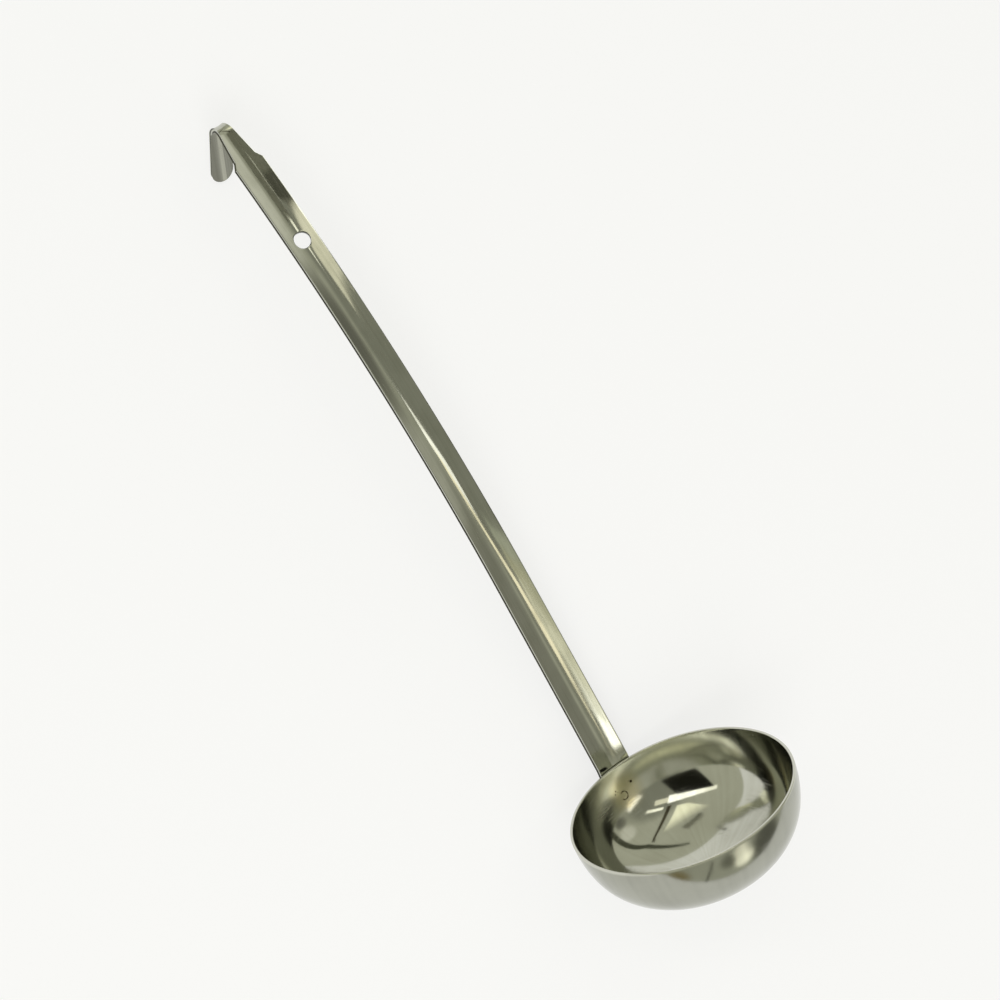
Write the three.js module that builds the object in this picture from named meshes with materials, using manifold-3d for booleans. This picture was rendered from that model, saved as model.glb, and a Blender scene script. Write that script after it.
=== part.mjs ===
import * as THREE from "three";
import { mergeVertices } from "three/addons/utils/BufferGeometryUtils.js";
import Module from "manifold-3d";

const wasm = await Module();
wasm.setup();

// Sizes are in millimetres and angles in degrees.
// The bowl is drawn about its own upright axis, with the rim at height zero.
const rimRadius = 48;
const bowlSheet = 1.2;
const rimRounding = 0.35;
const wallRadius = 46;
const wallTurn = 18;
const cornerReach = 18;
const bottomLean = 62;

// The handle's strap, from its foot on the bowl to the tip of its hook.
const strapSheet = 1.8;
const seatGap = 0.3;
const footDrop = 21;
const footHalfWidth = 8.1;
const seatEnd = 2.4;
const rimBendRadius = 15;
const riseLean = 14.1;
const straightRise = 88.5;
const sweepRadius = 656;
const sweepLength = 208.5;
const neckLength = 12.8;
const hookRadius = 6.6;
const hookTurn = 115;
const tongueLength = 27;

// Half widths of the strap, which narrows at a shoulder into the neck of the hook.
const bowlEndHalfWidth = 8.1;
const hookEndHalfWidth = 7.15;
const neckHalfWidth = 5.4;
const bendHalfWidth = 2.9;
const tongueHalfWidth = 5.5;
const shoulderLength = 3;

// The strap's face is pressed into a shallow groove with a soft valley.
const grooveSlope = 13;
const grooveRounding = 2.4;
const grooveRunout = 8;
const edgeBevel = 0.45;

// The hanging hole lies below the neck of the hook.
const holeRadius = 3.6;
const holeBelowNeck = 41.6;

// Spot welds hold the foot to the bowl.
const weldRadius = 2;
const weldDrop = 11.5;
const weldSpacing = 6.4;
const weldClearance = 0.3;

const bowlSides = 72;
const tipAngles = [0, 20, 38, 53, 66, 78];
const faceSteps = [0, 0.14, 0.3, 0.5, 0.74, 1];

const rad = THREE.MathUtils.degToRad;
const mix = THREE.MathUtils.lerp;
const smooth = THREE.MathUtils.smoothstep;

// Outside of the bowl in its half plane: wall arc, corner arc, then the shallow dome of its bottom.
const wallLow = {
  radius: rimRadius - wallRadius * (1 - Math.cos(rad(wallTurn))),
  height: -wallRadius * Math.sin(rad(wallTurn)),
};
const cornerRadius = (wallLow.radius - cornerReach) / Math.cos(rad(wallTurn));
const cornerHeight = wallLow.height + cornerRadius * Math.sin(rad(wallTurn));
const bottomRadius = cornerRadius + cornerReach / Math.cos(rad(bottomLean));
const bottomHeight = cornerHeight + cornerReach * Math.tan(rad(bottomLean));

// A point on the wall, moved out by an offset, at a lean from upright.
function wallPoint(lean, offset) {
  const angle = rad(lean);
  if (lean <= wallTurn) {
    const reach = wallRadius + offset;
    return new THREE.Vector2(rimRadius - wallRadius + reach * Math.cos(angle), -reach * Math.sin(angle));
  }
  if (lean <= bottomLean) {
    const reach = cornerRadius + offset;
    return new THREE.Vector2(cornerReach + reach * Math.cos(angle), cornerHeight - reach * Math.sin(angle));
  }
  const reach = bottomRadius + offset;
  return new THREE.Vector2(reach * Math.cos(angle), bottomHeight - reach * Math.sin(angle));
}

// The lean of the wall at a distance below the rim, measured along an offset of it.
function wallLean(distance, offset) {
  const wallArc = (wallRadius + offset) * rad(wallTurn);
  if (distance <= wallArc) {
    return THREE.MathUtils.radToDeg(distance / (wallRadius + offset));
  }
  return wallTurn + THREE.MathUtils.radToDeg((distance - wallArc) / (cornerRadius + offset));
}

function bowlProfile() {
  const leans = [];
  for (let step = 0; step <= 3; step += 1) {
    leans.push(mix(0, wallTurn, step / 3));
  }
  for (let step = 1; step <= 5; step += 1) {
    leans.push(mix(wallTurn, bottomLean, step / 5));
  }
  for (let step = 1; step <= 4; step += 1) {
    leans.push(mix(bottomLean, 90, step / 5));
  }
  const inside = leans.map((lean) => wallPoint(lean, -bowlSheet));
  const outside = leans.map((lean) => wallPoint(lean, 0));
  inside.shift();
  outside.shift();
  const rim = [];
  for (let step = 0; step <= 3; step += 1) {
    const angle = (Math.PI / 2) * (step / 3);
    const across = rimRadius - bowlSheet + rimRounding * (1 - Math.cos(angle));
    rim.push(new THREE.Vector2(across, rimRounding * (Math.sin(angle) - 1)));
  }
  for (let step = 0; step <= 3; step += 1) {
    const angle = (Math.PI / 2) * (step / 3);
    const across = rimRadius - rimRounding * (1 - Math.sin(angle));
    rim.push(new THREE.Vector2(across, rimRounding * (Math.cos(angle) - 1)));
  }
  const top = new THREE.Vector2(0, bottomHeight - bottomRadius + bowlSheet);
  const bottom = new THREE.Vector2(0, bottomHeight - bottomRadius);
  return [bottom, ...outside.reverse(), ...rim.reverse(), ...inside, top];
}

// Turns any closed mesh into a solid with its faces outward.
function solidFrom(geometry) {
  geometry.deleteAttribute("normal");
  geometry.deleteAttribute("uv");
  const merged = mergeVertices(geometry, 1e-4);
  const corners = Array.from(merged.index.array);
  const faces = [];
  for (let at = 0; at < corners.length; at += 3) {
    const [a, b, c] = corners.slice(at, at + 3);
    if (a !== b && b !== c && c !== a) {
      faces.push(a, b, c);
    }
  }
  const place = merged.attributes.position;
  let volume = 0;
  const p = new THREE.Vector3();
  const q = new THREE.Vector3();
  const r = new THREE.Vector3();
  for (let at = 0; at < faces.length; at += 3) {
    p.fromBufferAttribute(place, faces[at]);
    q.fromBufferAttribute(place, faces[at + 1]);
    r.fromBufferAttribute(place, faces[at + 2]);
    volume += p.dot(q.cross(r));
  }
  if (volume < 0) {
    faces.reverse();
  }
  const mesh = new wasm.Mesh({
    numProp: 3,
    vertProperties: new Float32Array(place.array),
    triVerts: new Uint32Array(faces),
  });
  return new wasm.Manifold(mesh);
}

function geometryFrom(solid) {
  const mesh = solid.getMesh();
  const geometry = new THREE.BufferGeometry();
  geometry.setAttribute("position", new THREE.BufferAttribute(new Float32Array(mesh.vertProperties), 3));
  geometry.setIndex(new THREE.BufferAttribute(new Uint32Array(mesh.triVerts), 1));
  geometry.computeVertexNormals();
  return geometry;
}

// The strap's path in the half plane through the bowl's axis: x is outward and y is up.
// Its heading is the lean outward from upright, and each run is straight or an arc.
const footLean = wallLean(footDrop, seatGap);
const seatLean = wallLean(seatEnd, seatGap);
const cornerRun = Math.max(footLean - wallTurn, 0);
const wallRun = Math.min(footLean, wallTurn) - seatLean;
const runs = [
  { turn: -cornerRun, length: rad(cornerRun) * (cornerRadius + seatGap) },
  { turn: -wallRun, length: rad(wallRun) * (wallRadius + seatGap) },
  { turn: riseLean - seatLean, length: rad(riseLean - seatLean) * rimBendRadius },
  { turn: 0, length: straightRise },
  { turn: THREE.MathUtils.radToDeg(sweepLength / sweepRadius), length: sweepLength },
  { turn: 0, length: neckLength },
  { turn: hookTurn, length: rad(hookTurn) * hookRadius },
  { turn: 0, length: tongueLength },
];
const marks = [0];
for (const run of runs) {
  marks.push(marks[marks.length - 1] + run.length);
}
const [, , leavesWall, , sweepStart, neckStart, hookStart, tongueStart, tipEnd] = marks;

function pathAt(distance) {
  const spot = { at: wallPoint(footLean, seatGap), lean: rad(footLean) };
  runs.forEach((run, order) => {
    const part = THREE.MathUtils.clamp(distance - marks[order], 0, run.length);
    if (run.turn === 0 || run.length === 0) {
      spot.at.x += part * Math.sin(spot.lean);
      spot.at.y += part * Math.cos(spot.lean);
      return;
    }
    const bend = rad(run.turn) / run.length;
    const lean = spot.lean + bend * part;
    spot.at.x += (Math.cos(spot.lean) - Math.cos(lean)) / bend;
    spot.at.y += (Math.sin(lean) - Math.sin(spot.lean)) / bend;
    spot.lean = lean;
  });
  return spot;
}

const shoulder = neckStart - shoulderLength;
const hookCrest = (hookStart + tongueStart) / 2;

// Half width along the path, with a round end on the foot and on the tongue.
function halfWidth(distance) {
  const spread = [
    [0, footHalfWidth],
    [leavesWall, bowlEndHalfWidth],
    [shoulder, hookEndHalfWidth],
    [neckStart, neckHalfWidth],
    [hookCrest, bendHalfWidth],
    [tipEnd - tongueHalfWidth, tongueHalfWidth],
  ];
  let width = spread[spread.length - 1][1];
  for (let order = spread.length - 1; order > 0; order -= 1) {
    const [from, low] = spread[order - 1];
    const [to, high] = spread[order];
    if (distance < to) {
      width = mix(low, high, Math.max(distance - from, 0) / (to - from));
    }
  }
  const footReach = Math.max(footHalfWidth - distance, 0) / footHalfWidth;
  const tipReach = Math.max(distance - tipEnd + tongueHalfWidth, 0) / tongueHalfWidth;
  return width * Math.sqrt(1 - footReach ** 2) * Math.sqrt(1 - tipReach ** 2);
}

// One half of the strap's face: points across it with the slope of the sheet there.
// On the seat it follows the bowl's round wall, and past it the groove takes over.
function halfFace(distance, bevel) {
  const spot = pathAt(distance);
  const hug = 1 - smooth(distance, leavesWall, leavesWall + grooveRunout);
  const seatRadius = spot.at.x / Math.cos(spot.lean);
  const face = halfWidth(distance) - bevel;
  let across = 0;
  let ahead = 0;
  let last = { along: 0, slope: 0 };
  return faceSteps.map((share) => {
    const along = face * share;
    const groove = rad(grooveSlope) * (along / Math.hypot(along, grooveRounding));
    const slope = mix(groove, along / seatRadius, hug);
    across += (along - last.along) * Math.cos((slope + last.slope) / 2);
    ahead += (along - last.along) * Math.sin((slope + last.slope) / 2);
    last = { along, slope };
    return { across, ahead, slope };
  });
}

// A closed ring of points round the strap at one station: face, beveled edges and back.
function ringAt(distance) {
  const spot = pathAt(distance);
  const bevel = Math.min(edgeBevel, 0.4 * halfWidth(distance));
  const half = halfFace(distance, bevel);
  const place = (side, point, out, behind) => {
    const across = point.across + out * Math.cos(point.slope) + behind * Math.sin(point.slope);
    const ahead = point.ahead + out * Math.sin(point.slope) - behind * Math.cos(point.slope);
    const outward = spot.at.x - ahead * Math.cos(spot.lean);
    return new THREE.Vector3(outward, side * across, spot.at.y + ahead * Math.sin(spot.lean));
  };
  const rim = half[half.length - 1];
  const edge = (side) => [place(side, rim, bevel, bevel), place(side, rim, bevel, strapSheet - bevel)];
  const right = half.map((point) => place(1, point, 0, 0));
  const left = half.slice(1).map((point) => place(-1, point, 0, 0));
  const rightBack = half.map((point) => place(1, point, 0, strapSheet));
  const leftBack = half.slice(1).map((point) => place(-1, point, 0, strapSheet));
  const front = [...left.reverse(), ...right];
  const back = [...leftBack.reverse(), ...rightBack];
  return [...front, ...edge(1), ...back.reverse(), ...edge(-1).reverse()];
}

function stations() {
  const list = tipAngles.map((angle) => footHalfWidth * (1 - Math.sin(rad(angle)))).reverse();
  const stretch = (from, to, steps) => {
    for (let step = 1; step <= steps; step += 1) {
      list.push(mix(from, to, step / steps));
    }
  };
  stretch(footHalfWidth, leavesWall, 5);
  stretch(leavesWall, leavesWall + grooveRunout, 6);
  stretch(leavesWall + grooveRunout, sweepStart, 3);
  stretch(sweepStart, shoulder, 14);
  stretch(shoulder, neckStart, 1);
  stretch(neckStart, hookStart, 3);
  stretch(hookStart, tongueStart, 12);
  stretch(tongueStart, tipEnd - tongueHalfWidth, 3);
  for (const angle of tipAngles.slice(1)) {
    list.push(tipEnd - tongueHalfWidth * (1 - Math.sin(rad(angle))));
  }
  return list;
}

function strapGeometry() {
  const rings = stations().map(ringAt);
  const size = rings[0].length;
  const faces = [];
  const quad = (a, b, c, d) => faces.push(a, b, c, a, c, d);
  for (let ring = 0; ring + 1 < rings.length; ring += 1) {
    for (let side = 0; side < size; side += 1) {
      const next = (side + 1) % size;
      quad(ring * size + side, ring * size + next, (ring + 1) * size + next, (ring + 1) * size + side);
    }
  }
  const last = (rings.length - 1) * size;
  for (let low = 0, high = size - 3; low + 1 < high; low += 1, high -= 1) {
    quad(low + 1, low, high, high - 1);
    quad(last + low, last + low + 1, last + high - 1, last + high);
  }
  quad(0, size - 1, size - 2, size - 3);
  quad(last + size - 1, last, last + size - 3, last + size - 2);
  const geometry = new THREE.BufferGeometry().setFromPoints(rings.flat());
  geometry.setIndex(faces);
  return geometry;
}

// A round bar along a direction, from one reach to another past a point.
function bar(radius, point, direction, from, to, sides) {
  const geometry = new THREE.CylinderGeometry(radius, radius, to - from, sides);
  geometry.translate(0, (from + to) / 2, 0);
  const turn = new THREE.Quaternion().setFromUnitVectors(new THREE.Vector3(0, 1, 0), direction);
  geometry.applyQuaternion(turn);
  geometry.translate(point.x, point.y, point.z);
  return solidFrom(geometry);
}

const lathe = new THREE.LatheGeometry(bowlProfile(), bowlSides);
lathe.rotateX(Math.PI / 2);
let bowlSolid = solidFrom(lathe);
let handleSolid = solidFrom(strapGeometry());

const holeSpot = pathAt(neckStart - holeBelowNeck);
const holePoint = new THREE.Vector3(holeSpot.at.x, 0, holeSpot.at.y);
const holeWay = new THREE.Vector3(-Math.cos(holeSpot.lean), 0, Math.sin(holeSpot.lean));
const holeReach = holeRadius + strapSheet;
handleSolid = handleSolid.subtract(bar(holeRadius, holePoint, holeWay, -holeReach, holeReach, 32));

// Each weld sits in a shallow seat in both sheets and bridges the gap between them.
const weldLean = wallLean(weldDrop, 0);
const weldSpot = wallPoint(weldLean, 0);
const weldSwing = Math.asin(weldSpacing / 2 / weldSpot.x);
const upright = new THREE.Vector3(0, 0, 1);
const seatIn = bowlSheet / 2;
const seatOut = seatGap + strapSheet / 2;
const weldSolids = [1, -1].map((side) => {
  const point = new THREE.Vector3(weldSpot.x, 0, weldSpot.y).applyAxisAngle(upright, side * weldSwing);
  const way = new THREE.Vector3(Math.cos(rad(weldLean)), 0, -Math.sin(rad(weldLean)));
  way.applyAxisAngle(upright, side * weldSwing);
  const seat = bar(weldRadius + weldClearance, point, way, -seatIn, seatOut, 24);
  bowlSolid = bowlSolid.subtract(seat);
  handleSolid = handleSolid.subtract(seat);
  return bar(weldRadius, point, way, weldClearance - seatIn, seatOut - weldClearance, 24);
});

// The ladle lies on its back, so its foot or bowl and the tip of its hook touch the table.
function backEdge(solids) {
  const flat = [];
  for (const solid of solids) {
    const mesh = solid.getMesh();
    for (let at = 0; at < mesh.vertProperties.length; at += 3) {
      flat.push(new THREE.Vector2(mesh.vertProperties[at], mesh.vertProperties[at + 2]));
    }
  }
  flat.sort((one, two) => one.y - two.y || two.x - one.x);
  const chain = [];
  for (const point of flat) {
    while (chain.length > 1) {
      const [one, two] = chain.slice(-2);
      if ((two.x - one.x) * (point.y - one.y) - (two.y - one.y) * (point.x - one.x) > 0) {
        break;
      }
      chain.pop();
    }
    chain.push(point);
  }
  let best = { length: 0 };
  for (let order = 1; order < chain.length; order += 1) {
    const length = chain[order].distanceTo(chain[order - 1]);
    if (length > best.length) {
      best = { length, from: chain[order - 1], to: chain[order] };
    }
  }
  return best;
}

const rest = backEdge([bowlSolid, handleSolid]);
const restAngle = Math.atan2(rest.to.y - rest.from.y, rest.to.x - rest.from.x);

const steel = { roughness: 0.16, metalness: 1 };
const pieces = [
  { name: "bowl", solid: bowlSolid, color: 0xb7b5a6 },
  { name: "handle", solid: handleSolid, color: 0xb4b3a3 },
  { name: "spot_weld_left", solid: weldSolids[0], color: 0x8d8b80 },
  { name: "spot_weld_right", solid: weldSolids[1], color: 0x8d8b80 },
];

const ladle = new THREE.Group();
ladle.name = "ladle";
for (const piece of pieces) {
  const geometry = geometryFrom(piece.solid);
  geometry.rotateY(restAngle);
  const material = new THREE.MeshStandardMaterial({ color: piece.color, ...steel });
  const mesh = new THREE.Mesh(geometry, material);
  mesh.name = piece.name;
  ladle.add(mesh);
}

const extent = new THREE.Box3().setFromObject(ladle, true);
const middle = extent.getCenter(new THREE.Vector3());
for (const mesh of ladle.children) {
  mesh.geometry.translate(-middle.x, -middle.y, -extent.min.z);
}

export default ladle;
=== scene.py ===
import math

import bpy
import numpy as np
from mathutils import Matrix, Vector


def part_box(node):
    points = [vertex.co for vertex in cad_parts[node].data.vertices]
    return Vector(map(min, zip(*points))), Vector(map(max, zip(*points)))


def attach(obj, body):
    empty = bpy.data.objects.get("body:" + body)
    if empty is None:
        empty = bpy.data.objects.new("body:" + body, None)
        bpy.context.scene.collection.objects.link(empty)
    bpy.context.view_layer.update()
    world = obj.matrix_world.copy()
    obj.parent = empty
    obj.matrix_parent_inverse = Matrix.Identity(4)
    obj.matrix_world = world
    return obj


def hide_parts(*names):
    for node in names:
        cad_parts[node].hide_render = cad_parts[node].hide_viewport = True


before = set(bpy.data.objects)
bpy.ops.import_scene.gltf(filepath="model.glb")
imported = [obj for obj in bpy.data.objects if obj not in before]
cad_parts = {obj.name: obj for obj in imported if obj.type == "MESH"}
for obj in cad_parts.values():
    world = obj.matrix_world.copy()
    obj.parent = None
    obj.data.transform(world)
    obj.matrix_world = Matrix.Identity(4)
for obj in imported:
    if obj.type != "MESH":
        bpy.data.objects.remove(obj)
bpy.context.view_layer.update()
mm = 0.001
sharpAngle = 50  # degrees; faces that meet at more than this stay creased


class Wire:
    # a socket of a node tree; sums and products of wires become Math nodes
    def __init__(self, tree, socket):
        self.tree = tree
        self.socket = socket

    def math(self, operation, *values):
        return add(self.tree, "ShaderNodeMath", dict(operation=operation), dict(enumerate(values)))

    def __add__(self, other):
        return self.math("ADD", self, other)

    def __radd__(self, other):
        return self.math("ADD", other, self)

    def __sub__(self, other):
        return self.math("SUBTRACT", self, other)

    def __rsub__(self, other):
        return self.math("SUBTRACT", other, self)

    def __mul__(self, other):
        return self.math("MULTIPLY", self, other)

    def __rmul__(self, other):
        return self.math("MULTIPLY", other, self)

    def __truediv__(self, other):
        return self.math("DIVIDE", self, other)

    def __rtruediv__(self, other):
        return self.math("DIVIDE", other, self)

    def __neg__(self):
        return self.math("MULTIPLY", self, -1.0)

    def __abs__(self):
        return self.math("ABSOLUTE", self)

    def of(self, operation, *values):
        return self.math(operation, self, *values)

    def out(self, name):
        return Wire(self.tree, self.socket.node.outputs[name])


def add(tree, kind, settings=None, sockets=None, output=0):
    # any node: its settings first, then the values or wires of its sockets
    node = tree.nodes.new(kind)
    for name, value in (settings or {}).items():
        setattr(node, name, value)
    for at, value in (sockets or {}).items():
        socket = node.inputs[at]
        if isinstance(value, Wire):
            tree.links.new(value.socket, socket)
        else:
            socket.default_value = value
    return Wire(tree, node.outputs[output]) if node.outputs else None


def newTree(name, inputs):
    # an empty geometry tree with a mesh in, a mesh out and named inputs
    tree = bpy.data.node_groups.new(name, "GeometryNodeTree")
    tree.interface.new_socket("Geometry", in_out="INPUT", socket_type="NodeSocketGeometry")
    for label, kind in inputs:
        tree.interface.new_socket(label, in_out="INPUT", socket_type=kind)
    tree.interface.new_socket("Geometry", in_out="OUTPUT", socket_type="NodeSocketGeometry")
    return tree, add(tree, "NodeGroupInput")


def dressAndEnd(tree, shape, finish):
    # the last nodes of a geometry tree: one plain mesh with its finish
    whole = add(tree, "GeometryNodeRealizeInstances", None, {"Geometry": shape})
    dressed = add(tree, "GeometryNodeSetMaterial", None, {"Geometry": whole, "Material": finish})
    add(tree, "NodeGroupOutput", None, {"Geometry": dressed})


def runTree(name, mesh, tree, values):
    # runs a tree on a mesh and returns a plain object with the result
    rough = bpy.data.objects.new(name + "Rough", mesh)
    bpy.context.scene.collection.objects.link(rough)
    modifier = rough.modifiers.new("form", "NODES")
    modifier.node_group = tree
    for item in tree.interface.items_tree:
        if item.in_out == "INPUT" and item.name in values:
            modifier[item.identifier] = values[item.name]
    graph = bpy.context.evaluated_depsgraph_get()
    shaped = bpy.data.meshes.new_from_object(rough.evaluated_get(graph), depsgraph=graph)
    bpy.data.objects.remove(rough)
    shaped.name = name
    piece = bpy.data.objects.new(name, shaped)
    bpy.context.scene.collection.objects.link(piece)
    return piece


def meshFrom(name, corners, faces, edges=()):
    mesh = bpy.data.meshes.new(name)
    mesh.from_pydata([tuple(corner) for corner in corners], list(edges), [tuple(face) for face in faces])
    mesh.update()
    return mesh


def smoothMesh(piece):
    piece.data.shade_smooth()
    piece.data.set_sharp_from_angle(angle=math.radians(sharpAngle))


# the ladle lies on its back: the bowl's own upright frame turns about Y into the frame of the table
lying = dict(turn=64.0341913852875, outward=-108.8241681, up=-109.8876803)
lyingTurn = Matrix.Rotation(math.radians(lying["turn"]), 4, "Y")
lyingPlace = lyingTurn @ Matrix.Translation((lying["outward"] * mm, 0, lying["up"] * mm))

# bowl: sizes in mm, turns and leans in degrees, steps of its section's arcs
bowl = dict(rimRadius=48, sheet=1.2, rimRounding=0.35, wallRadius=46, wallTurn=18, cornerReach=18,
            bottomLean=62, sides=288, wallSteps=12, cornerSteps=30, domeSteps=24, rimSteps=5)
wallLow = math.radians(bowl["wallTurn"])
domeLean = math.radians(bowl["bottomLean"])
bowl["cornerRadius"] = (bowl["rimRadius"] - bowl["wallRadius"] * (1 - math.cos(wallLow))
                        - bowl["cornerReach"]) / math.cos(wallLow)
bowl["cornerHeight"] = (bowl["cornerRadius"] - bowl["wallRadius"]) * math.sin(wallLow)
bowl["bottomRadius"] = bowl["cornerRadius"] + bowl["cornerReach"] / math.cos(domeLean)
bowl["bottomHeight"] = bowl["cornerHeight"] + bowl["cornerReach"] * math.tan(domeLean)


def wallPoint(lean, offset):
    # a point on the bowl's wall, moved out by an offset, at a lean from upright
    if lean <= bowl["wallTurn"]:
        reach, middle = bowl["wallRadius"] + offset, (bowl["rimRadius"] - bowl["wallRadius"], 0)
    elif lean <= bowl["bottomLean"]:
        reach, middle = bowl["cornerRadius"] + offset, (bowl["cornerReach"], bowl["cornerHeight"])
    else:
        reach, middle = bowl["bottomRadius"] + offset, (0, bowl["bottomHeight"])
    angle = math.radians(lean)
    return np.array([middle[0] + reach * math.cos(angle), middle[1] - reach * math.sin(angle)])


def wallLean(distance, offset):
    # the lean of the wall at a distance below the rim
    arc = (bowl["wallRadius"] + offset) * math.radians(bowl["wallTurn"])
    if distance <= arc:
        return math.degrees(distance / (bowl["wallRadius"] + offset))
    return bowl["wallTurn"] + math.degrees((distance - arc) / (bowl["cornerRadius"] + offset))


def bowlProfile():
    # the bowl's section from its outer middle over the rim to its inner one, and how many points are outer
    turn, dome = bowl["wallTurn"], bowl["bottomLean"]
    leans = np.concatenate([np.linspace(0, turn, bowl["wallSteps"] + 1)[1:],
                            np.linspace(turn, dome, bowl["cornerSteps"] + 1)[1:],
                            np.linspace(dome, 90, bowl["domeSteps"] + 1)[1:-1]])
    outside = [wallPoint(lean, 0) for lean in leans]
    inside = [wallPoint(lean, -bowl["sheet"]) for lean in leans]
    rounding, inner = bowl["rimRounding"], bowl["rimRadius"] - bowl["sheet"]
    quarter = np.radians(np.linspace(0, 90, bowl["rimSteps"] + 1))
    rim = [(bowl["rimRadius"] - rounding * (1 - math.cos(angle)), rounding * (math.sin(angle) - 1))
           for angle in quarter]
    rim += [(inner + rounding * (1 - math.cos(angle)), rounding * (math.sin(angle) - 1))
            for angle in quarter[::-1]]
    low = bowl["bottomHeight"] - bowl["bottomRadius"]
    section = [(0, low)] + outside[::-1] + rim + inside + [(0, low + bowl["sheet"])]
    return section, len(outside) + 1


def spinTree():
    # spins a profile, drawn in X and Z, about the Z axis and marks the points of its outer face
    tree, given = newTree("spinProfile", [("Sides", "NodeSocketInt"), ("Profile Points", "NodeSocketInt"),
                                          ("Outside Points", "NodeSocketInt"),
                                          ("Finish", "NodeSocketMaterial")])
    points, sides = given.out("Profile Points"), given.out("Sides")
    grid = add(tree, "GeometryNodeMeshGrid", None, {"Vertices X": sides + 1, "Vertices Y": points})
    index = add(tree, "GeometryNodeInputIndex")
    column = (index / points).of("FLOOR")
    row = index - column * points
    sample = add(tree, "GeometryNodeSampleIndex", dict(data_type="FLOAT_VECTOR"),
                 {"Geometry": given, "Value": add(tree, "GeometryNodeInputPosition"), "Index": row})
    spot = add(tree, "ShaderNodeSeparateXYZ", None, {0: sample})
    angle = column / sides * (2 * math.pi)
    turned = add(tree, "ShaderNodeCombineXYZ", None, {"X": spot.out("X") * angle.of("COSINE"),
                                                      "Y": spot.out("X") * angle.of("SINE"),
                                                      "Z": spot.out("Z")})
    outer = row.of("LESS_THAN", given.out("Outside Points"))
    marked = add(tree, "GeometryNodeStoreNamedAttribute", dict(data_type="FLOAT", domain="POINT"),
                 {"Geometry": grid, "Name": "outerFace", "Value": outer})
    spun = add(tree, "GeometryNodeSetPosition", None, {"Geometry": marked, "Position": turned})
    closed = add(tree, "GeometryNodeMergeByDistance", None, {"Geometry": spun, "Distance": 1e-6})
    dressAndEnd(tree, closed, given.out("Finish"))
    return tree


def makeBowl(finish):
    section, outsidePoints = bowlProfile()
    corners = [(radius * mm, 0, height * mm) for radius, height in section]
    mesh = meshFrom("bowlProfile", corners, [], [(at, at + 1) for at in range(len(corners) - 1)])
    piece = runTree("ladleBowl", mesh, spinTree(),
                    {"Sides": bowl["sides"], "Profile Points": len(corners), "Outside Points": outsidePoints,
                     "Finish": finish})
    piece.data.transform(lyingPlace)
    smoothMesh(piece)
    return piece


# handle: sizes in mm, turns and slopes in degrees; from rimBendRun on, how finely its blank is divided
strap = dict(sheet=1.8, seatGap=0.3, footDrop=21, footHalfWidth=8.1, seatEnd=2.4, rimBendRadius=15,
             riseLean=14.1, straightRise=88.5, sweepRadius=656, sweepLength=208.5, neckLength=12.8,
             hookRadius=6.6, hookTurn=115, tongueLength=27, bowlEndHalfWidth=8.1, hookEndHalfWidth=7.15,
             neckHalfWidth=5.4, bendHalfWidth=2.9, tongueHalfWidth=5.5, shoulderLength=3, grooveSlope=13,
             grooveRounding=2.4, grooveRunout=5, edgeRounding=0.42, holeRadius=3.6, holeBelowNeck=41.6,
             holeRounding=0.25, rimBendRun=12, holeBlock=5.2, columns=30, capSteps=12, holeRings=7,
             holeSteps=4, edgeSteps=5, rowSteps=(0.8, 0.5, 1.25, 0.8, 1.0, 0.5, 0.7, 0.4, 0.7), pathStep=0.5,
             hookStep=0.2)


def strapRuns():
    # each run of the strap's path is a turn in degrees and a length
    footLean = wallLean(strap["footDrop"], strap["seatGap"])
    seatLean = wallLean(strap["seatEnd"], strap["seatGap"])
    cornerRun = max(footLean - bowl["wallTurn"], 0)
    wallRun = min(footLean, bowl["wallTurn"]) - seatLean
    rise = strap["riseLean"] - seatLean
    return footLean, [
        (-cornerRun, math.radians(cornerRun) * (bowl["cornerRadius"] + strap["seatGap"])),
        (-wallRun, math.radians(wallRun) * (bowl["wallRadius"] + strap["seatGap"])),
        (rise, math.radians(rise) * strap["rimBendRadius"]),
        (0, strap["straightRise"]),
        (math.degrees(strap["sweepLength"] / strap["sweepRadius"]), strap["sweepLength"]),
        (0, strap["neckLength"]),
        (strap["hookTurn"], math.radians(strap["hookTurn"]) * strap["hookRadius"]),
        (0, strap["tongueLength"]),
    ]


footLean, runs = strapRuns()
marks = [0] + list(np.cumsum([length for turn, length in runs]))
leavesWall, neckStart, hookStart, tongueStart, tipEnd = marks[2], marks[5], marks[6], marks[7], marks[8]
rimBendEnd = leavesWall + strap["rimBendRun"]
holePlace = neckStart - strap["holeBelowNeck"]


def pathAt(distance):
    # outward place, height and lean of the strap's face at a distance from the foot
    outward, height = wallPoint(footLean, strap["seatGap"])
    lean = math.radians(footLean)
    for (turn, length), start in zip(runs, marks):
        part = min(max(distance - start, 0), length)
        if turn == 0 or length == 0:
            outward += part * math.sin(lean)
            height += part * math.cos(lean)
            continue
        bend = math.radians(turn) / length
        end = lean + bend * part
        outward += (math.cos(lean) - math.cos(end)) / bend
        height += (math.sin(end) - math.sin(lean)) / bend
        lean = end
    return outward, height, lean


def halfWidth(distance):
    widths = {0: strap["footHalfWidth"], leavesWall: strap["bowlEndHalfWidth"],
              neckStart - strap["shoulderLength"]: strap["hookEndHalfWidth"],
              neckStart: strap["neckHalfWidth"],
              (hookStart + tongueStart) / 2: strap["bendHalfWidth"],
              tipEnd - strap["tongueHalfWidth"]: strap["tongueHalfWidth"], tipEnd: strap["tongueHalfWidth"]}
    return float(np.interp(distance, list(widths), list(widths.values())))


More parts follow.
